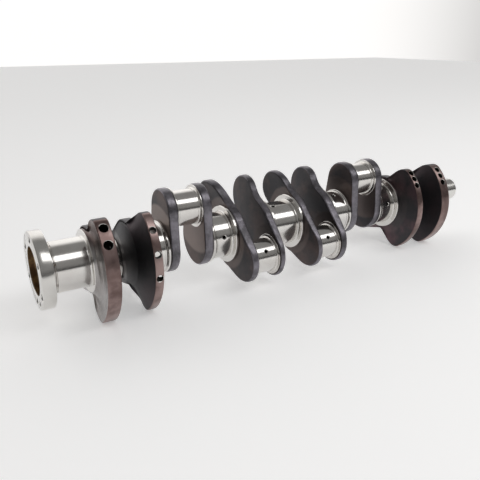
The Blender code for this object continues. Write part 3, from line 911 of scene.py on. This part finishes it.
def flare_finish():
    """The rear side of web 12, turned bright with a painted dark reflection on its top, and the
    forged skin of its other side.
    """
    finish = Finish("turned_flare", metallic=0.95)
    low = cheek_faces(12)[0]
    out = finish.radius(AXIS)
    turned = finish.x.step(low + 4 * MM, low + 2 * MM)
    lines = finish.noise(2500.0, 2.0, 0.7, finish.vector(out, 0.0, 0.0))
    patch = finish.noise(20.0, 4.0, 0.6)
    tone = patch.step(0.3, 0.7) * 0.6 + lines * 0.3
    bright = finish.mix(tone, FLARE_BRIGHT, FLARE_DULL)
    # Painted dark reflection: the turned flare turns brown above the axis and is darkest on its
    # top.
    flare_top_reflection = finish.z.step(AXIS.z + 20 * MM, AXIS.z + 40 * MM)
    bright = finish.mix(flare_top_reflection, bright, FLARE_REFLECTION_BROWN)
    finish.set("Base Color", finish.mix(turned, SKIN_DARK, bright))
    finish.set("Roughness", 0.45 - turned * 0.17 + (lines - 0.5) * 0.12)
    finish.bump(lines, 0.02 * MM)
    return finish.material


middle_rim = forged_rim("forged_rim")
outer_rim = turned_rim("turned_outer_rim", OUTER_WEIGHT)
inner_rim = turned_rim("turned_inner_rim", INNER_WEIGHT)


def discs_of(web, pin_radius, main_radius, share):
    """The faced discs on the low side and the high side of a web."""
    pin = (PIN_CENTRES[(web + 1) // 2], pin_radius, share)
    main = (AXIS, main_radius, share)
    return (pin, main) if web % 2 else (main, pin)


# %% Plain and middle webs
MIDDLE_LEAN = {5: 4.0 * MM, 6: 6.0 * MM, 7: 3.0 * MM, 8: 10.0 * MM}
PIN_END_RELIEF = 4.0 * MM
MIDDLE_FLAT = MIDDLE_MAIN_BOSS + 3.0 * MM
LOBE_ANGLE = math.radians(LOBE_DEGREES)
FORGED_ROUNDING = 3.0 * MM
PLAIN_DISCS, MIDDLE_DISCS = (72.0 * MM, 62.0 * MM), (48.0 * MM, 57.0 * MM)
DISC_SHARES, FAINT_DISC = {5: 0.8, 7: 0.8, 9: 0.75, 10: 0.75}, 0.35
# Webs 5 and 7 show the painted dark reflection strongly on their faced discs, at a share of
# 0.8.
REFLECTION_DISC_WEBS = (5, 7)


def middle_side(web, pin_angle, x, outer):
    side = 1 if web % 2 else -1

    def at(angle):
        beyond = middle_outline(angle, pin_angle) - MIDDLE_FLAT
        proud = smooth(beyond / (MIDDLE_WEIGHT - MIDDLE_FLAT))
        if apart(angle, pin_angle) >= apart(angle, LOBE_ANGLE):
            return x, x + side * MIDDLE_LEAN[web] * proud
        return x, (x - side * PIN_END_RELIEF * proud if outer else x)

    return at


for web in PLAIN_WEBS + MIDDLE_WEBS:
    low, high = cheek_faces(web)
    pin_angle = PIN_ANGLES[(web + 1) // 2]
    if web in PLAIN_WEBS:
        sides = [lambda angle, x=x: (x, x) for x in (low, high)]
        shape, flat, warmth = plain_outline, PLAIN_COLLAR + 0.5 * MM, 0.9
    else:
        sides = [
            middle_side(web, pin_angle, low, web % 2 == 0),
            middle_side(web, pin_angle, high, web % 2 == 1),
        ]
        shape, flat, warmth = middle_outline, MIDDLE_FLAT, 0.7
    share = DISC_SHARES.get(web, FAINT_DISC)
    pin_disc, main_disc = PLAIN_DISCS if web in PLAIN_WEBS else MIDDLE_DISCS
    discs = discs_of(web, pin_disc, main_disc, share)
    # Webs 5 and 7 take the painted dark reflection. The other webs take the faced brown.
    disc_tone_and_reflection = DISC_REFLECTION_BLACK if web in REFLECTION_DISC_WEBS else DISC_BROWN
    skin = side_finish(f"web_{web}_skin", web, discs, warmth, disc_tone_and_reflection)
    finishes = (skin, middle_rim)
    piece = web_piece(
        f"web_{web}_forged",
        lambda angle: shape(angle, pin_angle),
        flat,
        *sides,
        rounding=FORGED_ROUNDING,
        hollow=0.0,
        hub=0.0,
        materials=finishes,
    )
    dress(piece, f"web_{web}", "forged_steel")

# %% [markdown]
# ## End webs
#
# These carry the big counterweights. Their rims are wider than the cheeks and lean towards the
# nose on two of them, and they are drilled until the shaft runs true. Each drill leaves a
# wide chamfered mouth.

# %% End webs
RIM_OVERHANG = 8.0 * MM
OUTER_WIDTH, INNER_WIDTH = 18.5 * MM, 12.0 * MM
SMALL_HOLE, LARGE_HOLE = 4.75 * MM, 6.0 * MM
BALANCE_DEPTH, BALANCE_MOUTH = 16.0 * MM, 0.6 * MM
BORE_SLOT, CHAMFER_SLOT = 2, 3
END_DISCS, END_DISC_SHARE = (46.0 * MM, 60.0 * MM), 0.08
END_ROUNDING = 1.6 * MM
END_WEBS = {
    1: (OUTER_WIDTH, RIM_OVERHANG, OUTER_WEIGHT, SMALL_HOLE, (133, 141, 149)),
    2: (INNER_WIDTH, 0.0, INNER_WEIGHT, SMALL_HOLE, (131, 139, 147)),
    11: (INNER_WIDTH, RIM_OVERHANG, INNER_WEIGHT, SMALL_HOLE, (143, 165, 187)),
    12: (OUTER_WIDTH, 0.0, OUTER_WEIGHT, LARGE_HOLE, (134, 149)),
}


def end_side(pin_angle, shape, flat_x, rim_x):
    def at(angle):
        cheek = cheek_outline(angle, pin_angle, END_MAIN_BOSS, END_PIN_BOSS)
        proud = (shape(angle, pin_angle) - cheek) / (OUTER_WEIGHT - END_MAIN_BOSS)
        return flat_x, flat_x + (rim_x - flat_x) * smooth(1.6 * proud)

    return at


for web, (width, overhang, radius, hole, hole_degrees) in END_WEBS.items():
    low, high = cheek_faces(web)
    pin_angle = PIN_ANGLES[(web + 1) // 2]
    rim_middle = (low + high) / 2 + overhang
    shape = end_outline(radius)
    sides = [
        end_side(pin_angle, shape, flat_x, rim_middle + side * width / 2)
        for flat_x, side in ((low, -1), (high, 1))
    ]
    discs = discs_of(web, *END_DISCS, END_DISC_SHARE)
    warmth = 0.95 if web == 2 else 0.35
    if web == 12:
        skin = flare_finish()
    else:
        skin = side_finish(f"web_{web}_skin", web, discs, warmth, warm_colour=SKIN_VIOLET)
    rim = outer_rim if radius == OUTER_WEIGHT else inner_rim
    finishes = (skin, rim, painted_shade_bore.material, turned_steel)
    piece = web_piece(
        f"web_{web}_forged",
        lambda angle: shape(angle, pin_angle),
        END_MAIN_BOSS - 2 * EDGE,
        *sides,
        rounding=END_ROUNDING,
        hollow=3.2 * MM if web == 12 else 1.8 * MM,
        hub=4.0 * MM if web == 12 else 0.0,
        materials=finishes,
    )
    for degrees in hole_degrees:
        out = direction_at(math.radians(degrees))
        spot = Vector((rim_middle, AXIS.y, AXIS.z)) + out * radius
        bit = drill_bit(
            spot, out, hole, BALANCE_DEPTH, BALANCE_MOUTH, BORE_SLOT, CHAMFER_SLOT
        )
        drill(piece, bit)
    dress(piece, f"web_{web}", "forged_steel")
print("webs:", len(PLAIN_WEBS + MIDDLE_WEBS) + len(END_WEBS))

# %% [markdown]
# ## Floor and light
#
# Bright steel shows what is around it, so the room matters as much as the finish. The floor is
# one plain pale material. A long softbox above the front gives the journals their white band,
# and the room is pale behind the shaft and dim elsewhere.

# %% Studio
FLOOR_SIZE = 14.0
FLOOR_DROP = 0.0005
FLOOR_GREY = 0.95
FLOOR_GLOW = 0.3
OVERHEAD_LEVEL, ROOM_LEVEL = 0.22, 0.03
SOFTBOX_PLACE, SOFTBOX_TARGET = (1.2, -1.26, 1.87), (1.2, 0.0, 0.075)
SOFTBOX_SIZE, SOFTBOX_POWER = (3.4, 0.9), 19.0
bpy.ops.object.select_all(action="DESELECT")
bpy.ops.mesh.primitive_plane_add(size=FLOOR_SIZE, location=(0.0, 0.0, -FLOOR_DROP))
floor = bpy.context.object
floor.name = "studio_floor"

floor_finish = bpy.data.materials.new("pale_floor")
floor_finish.use_nodes = True
tree = floor_finish.node_tree
pale = tree.nodes["Principled BSDF"]
pale.inputs["Base Color"].default_value = (*[FLOOR_GREY] * 3, 1.0)
pale.inputs["Roughness"].default_value = 1.0
pale.inputs["Emission Color"].default_value = (1.0, 1.0, 1.0, 1.0)
pale.inputs["Emission Strength"].default_value = FLOOR_GLOW
floor.data.materials.append(floor_finish)

world = bpy.data.worlds.new("studio_room")
world.use_nodes = True
bpy.context.scene.world = world
tree = world.node_tree
sky = tree.nodes["Background"]
heading = tree.nodes.new("ShaderNodeTexCoord")
parts = add_node(tree, "ShaderNodeSeparateXYZ")
tree.links.new(heading.outputs["Generated"], parts.inputs[0])
front = Field(tree, parts.outputs[1]) * -1
height = Field(tree, parts.outputs[2])
overhead = height.step(0.02, 0.30) * OVERHEAD_LEVEL
behind = front.step(-0.35, -0.75)
level = overhead + behind + ROOM_LEVEL
tree.links.new(level.socket, sky.inputs["Strength"])
sky.inputs["Color"].default_value = (1.0, 0.985, 0.97, 1.0)

softbox_data = bpy.data.lights.new("front_softbox", "AREA")
softbox_data.shape = "RECTANGLE"
softbox_data.size, softbox_data.size_y = SOFTBOX_SIZE
softbox_data.energy = SOFTBOX_POWER
softbox = bpy.data.objects.new("front_softbox", softbox_data)
softbox.location = SOFTBOX_PLACE
aim = Vector(SOFTBOX_TARGET) - Vector(SOFTBOX_PLACE)
softbox.rotation_euler = aim.to_track_quat("-Z", "Y").to_euler()
bpy.context.scene.collection.objects.link(softbox)

# %% Colour
bpy.context.scene.view_settings.view_transform = "Standard"
bpy.context.scene.view_settings.look = "None"
bpy.context.scene.view_settings.exposure = 0.0
